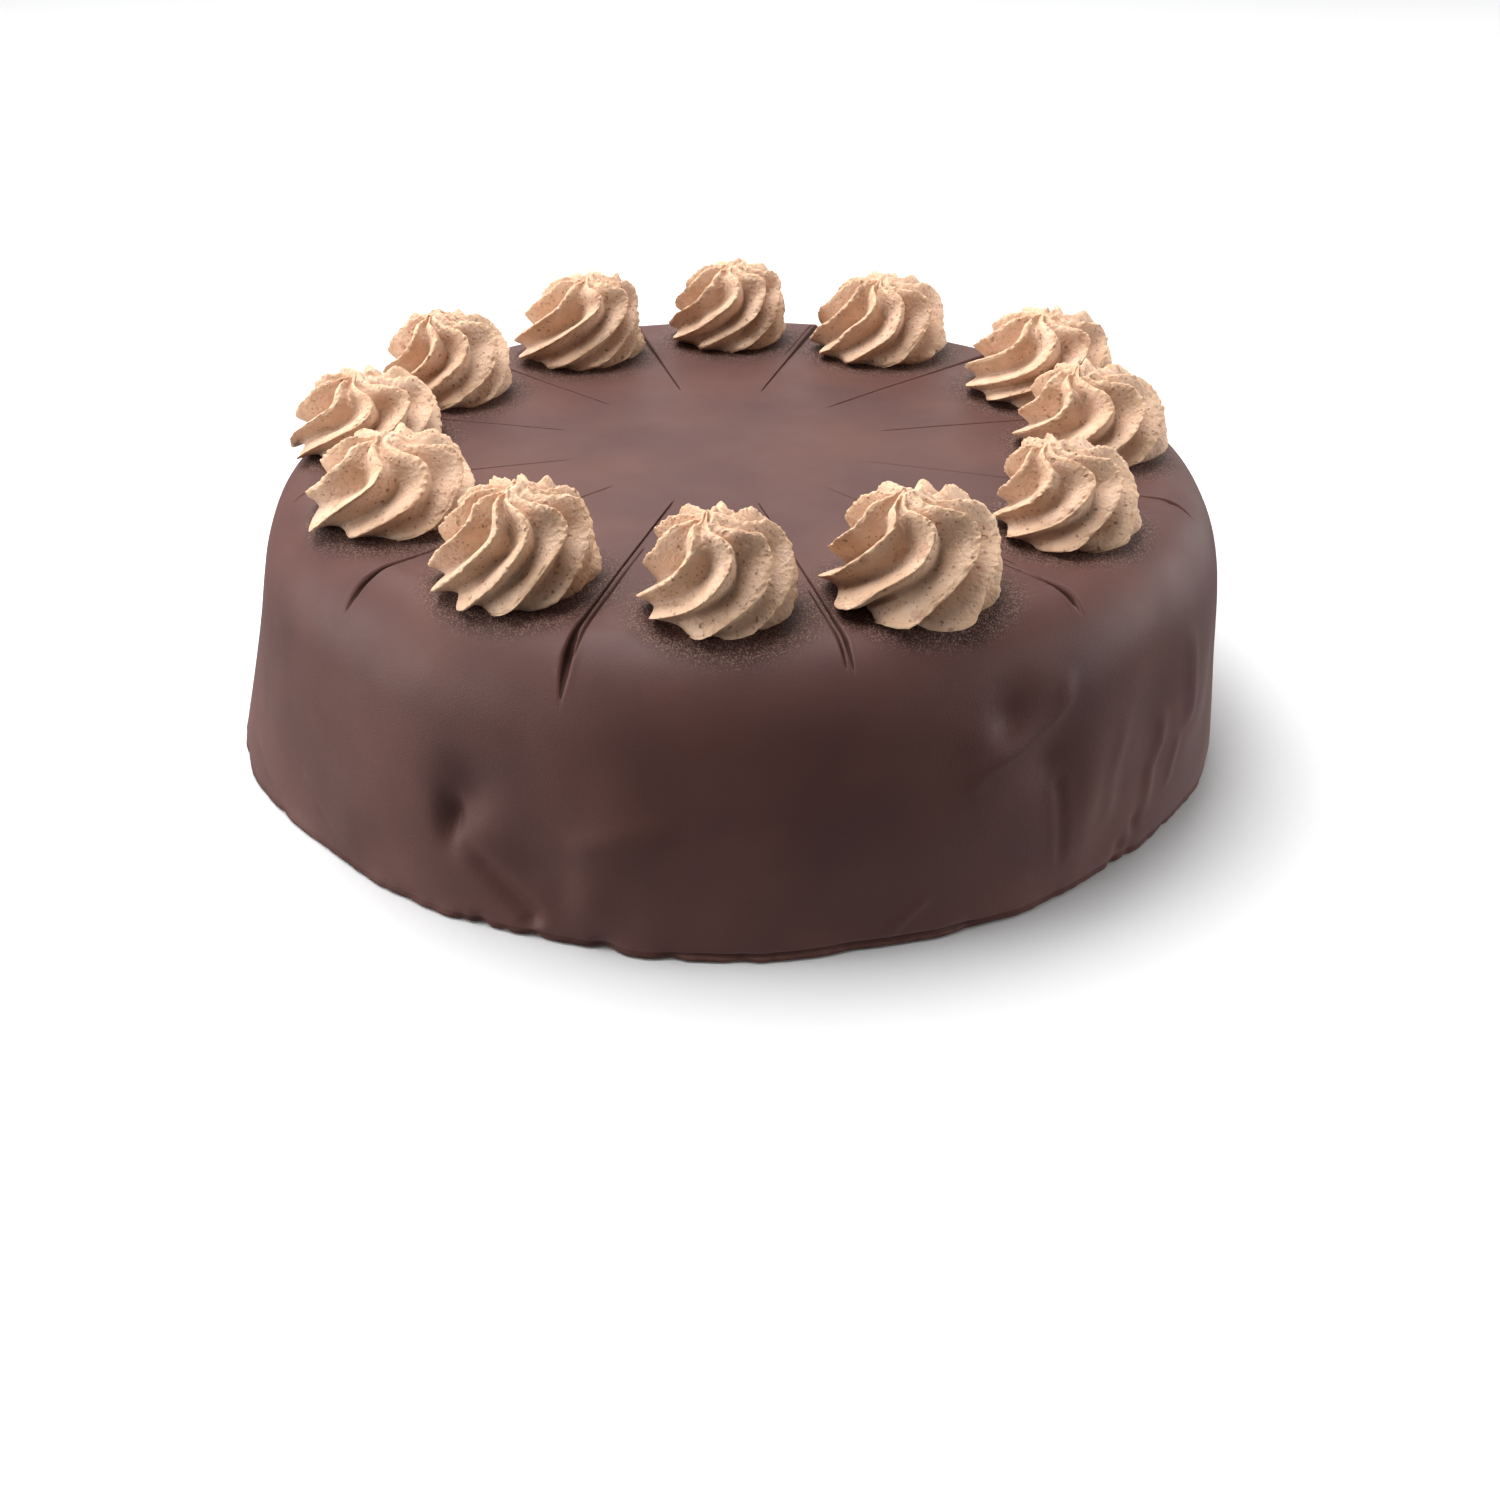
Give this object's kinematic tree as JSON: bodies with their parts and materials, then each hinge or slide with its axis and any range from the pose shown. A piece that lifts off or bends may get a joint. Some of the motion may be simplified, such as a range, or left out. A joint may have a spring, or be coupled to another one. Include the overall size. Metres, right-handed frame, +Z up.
{
  "type": "chestnut cake",
  "caption": "Round cake under smooth dark chocolate, scored into portions, with a piped rosette of chestnut cream on each.",
  "frame": {"origin": "on the underside, on the axis of the cake's round foot", "axes": "+Z up, the front of the cake faces -Y, +X to its right"},
  "size_m": [0.25, 0.2438, 0.0968],
  "materials": {
    "dark_chocolate": "satin dark chocolate coat",
    "chestnut_cream": "soft piped cream with dark specks"
  },
  "bodies": {
    "root": {"cake": "dark_chocolate", "rosette_01": "chestnut_cream", "rosette_02": "chestnut_cream", "rosette_03": "chestnut_cream", "rosette_04": "chestnut_cream", "rosette_05": "chestnut_cream", "rosette_06": "chestnut_cream", "rosette_07": "chestnut_cream", "rosette_08": "chestnut_cream", "rosette_09": "chestnut_cream", "rosette_10": "chestnut_cream", "rosette_11": "chestnut_cream", "rosette_12": "chestnut_cream"}
  },
  "joints": []
}
